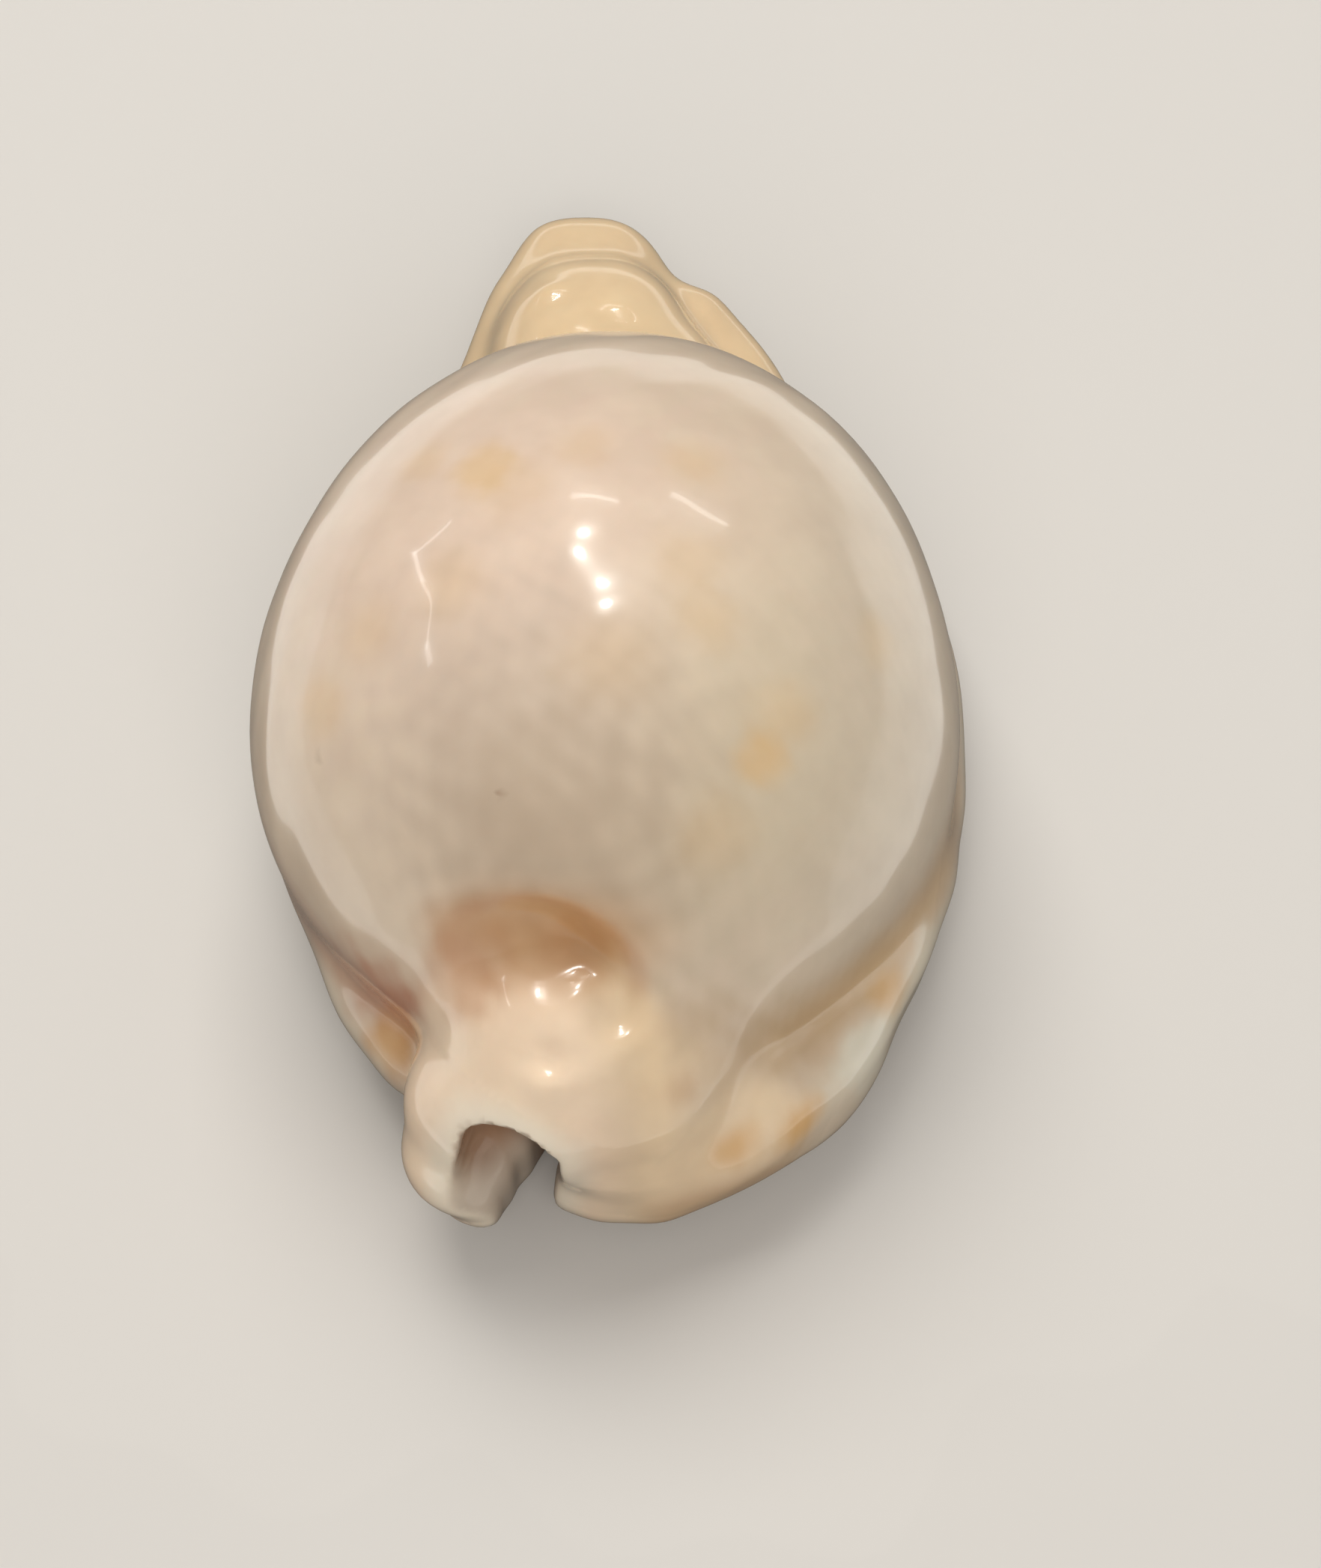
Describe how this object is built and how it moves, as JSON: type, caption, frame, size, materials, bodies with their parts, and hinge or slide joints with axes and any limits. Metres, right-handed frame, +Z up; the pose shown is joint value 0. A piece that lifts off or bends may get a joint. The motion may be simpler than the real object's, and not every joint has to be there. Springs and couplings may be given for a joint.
{
  "type": "cowrie shell",
  "caption": "Umbilia capricornica cowrie: a glossy, inflated pale porcelain shell with a sunken spire, a notched posterior spout, an anterior beak and a toothed aperture below",
  "frame": {"origin": "middle of the bounding box in plan, on the plane that the base rests on", "axes": "+Y to the anterior beak along the shell's length, +Z up through the back of the dome, +X to the outer (labral) lip"},
  "size_m": [0.0496, 0.0817, 0.04],
  "materials": {
    "porcelain_enamel": "glossy natural enamel, cream to apricot"
  },
  "bodies": {
    "root": {"shell": "porcelain_enamel"}
  },
  "joints": []
}
